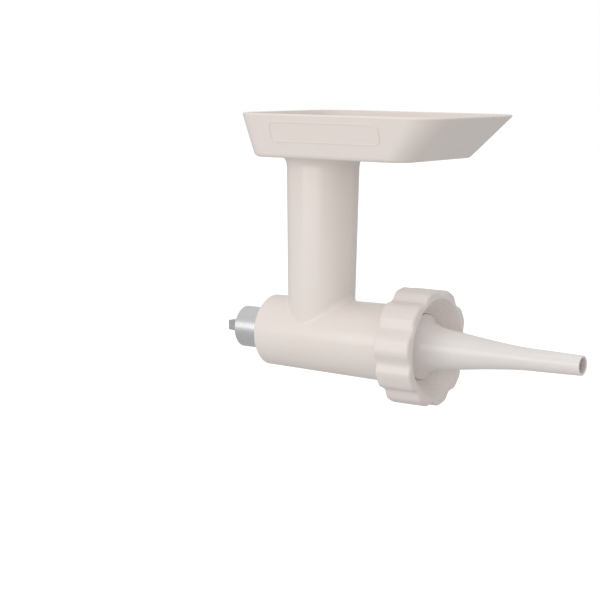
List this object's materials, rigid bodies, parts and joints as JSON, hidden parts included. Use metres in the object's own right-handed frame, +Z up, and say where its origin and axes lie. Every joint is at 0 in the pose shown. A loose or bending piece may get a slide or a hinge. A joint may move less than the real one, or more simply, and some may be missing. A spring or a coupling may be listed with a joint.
{
  "type": "meat grinder",
  "caption": "White plastic meat grinder for a powered drive hub: open hopper, feed tube, worm barrel, knife and plate, lobed ring nut and tapered stuffing tube.",
  "frame": {"origin": "centre of the drive shank's rear end face, on the worm axis", "axes": "+X along the worm from the drive end to the stuffing tube's tip, +Z up the feed tube to the hopper, XZ is the plane of symmetry of the body"},
  "size_m": [0.3128, 0.1324, 0.2191],
  "materials": {
    "body_plastic": "satin moulded, warm off-white",
    "shank_metal": "turned",
    "pin_steel": "ground",
    "bearing_plastic": "plain",
    "shaft_steel": "ground",
    "worm_plastic": "fine satin",
    "blade_steel": "ground edges",
    "plate_steel": "ground face",
    "tube_plastic": "gloss, neutral white",
    "nut_plastic": "satin, slightly pinkish white"
  },
  "bodies": {
    "housing": {"grinder_body": "body_plastic", "hub_shank": "shank_metal", "locating_pin": "pin_steel", "shaft_bearing": "bearing_plastic", "grinding_plate": "plate_steel"},
    "auger": {"drive_shaft": "shaft_steel", "worm_pin": "pin_steel", "thrust_washer": "bearing_plastic", "grind_worm": "worm_plastic", "knife": "blade_steel"},
    "stuffer": {"stuffer_tube": "tube_plastic"},
    "nut": {"ring_nut": "nut_plastic"}
  },
  "joints": [
    {"name": "auger_spin", "type": "hinge", "parent": "housing", "child": "auger", "pos_m": [0.03, 0, 0], "axis": [1, 0, 0], "continuous": true},
    {"name": "nut_travel", "type": "slide", "parent": "housing", "child": "stuffer", "axis": [1, 0, 0], "range_m": [0, 0.01]},
    {"name": "nut_turn", "type": "hinge", "parent": "stuffer", "child": "nut", "pos_m": [0.16, 0, 0], "axis": [1, 0, 0], "range_deg": [0, 900]}
  ],
  "couplings": [
    {"joint": "nut_travel", "follows": "nut_turn", "m_per_rad": 0.00063662}
  ]
}
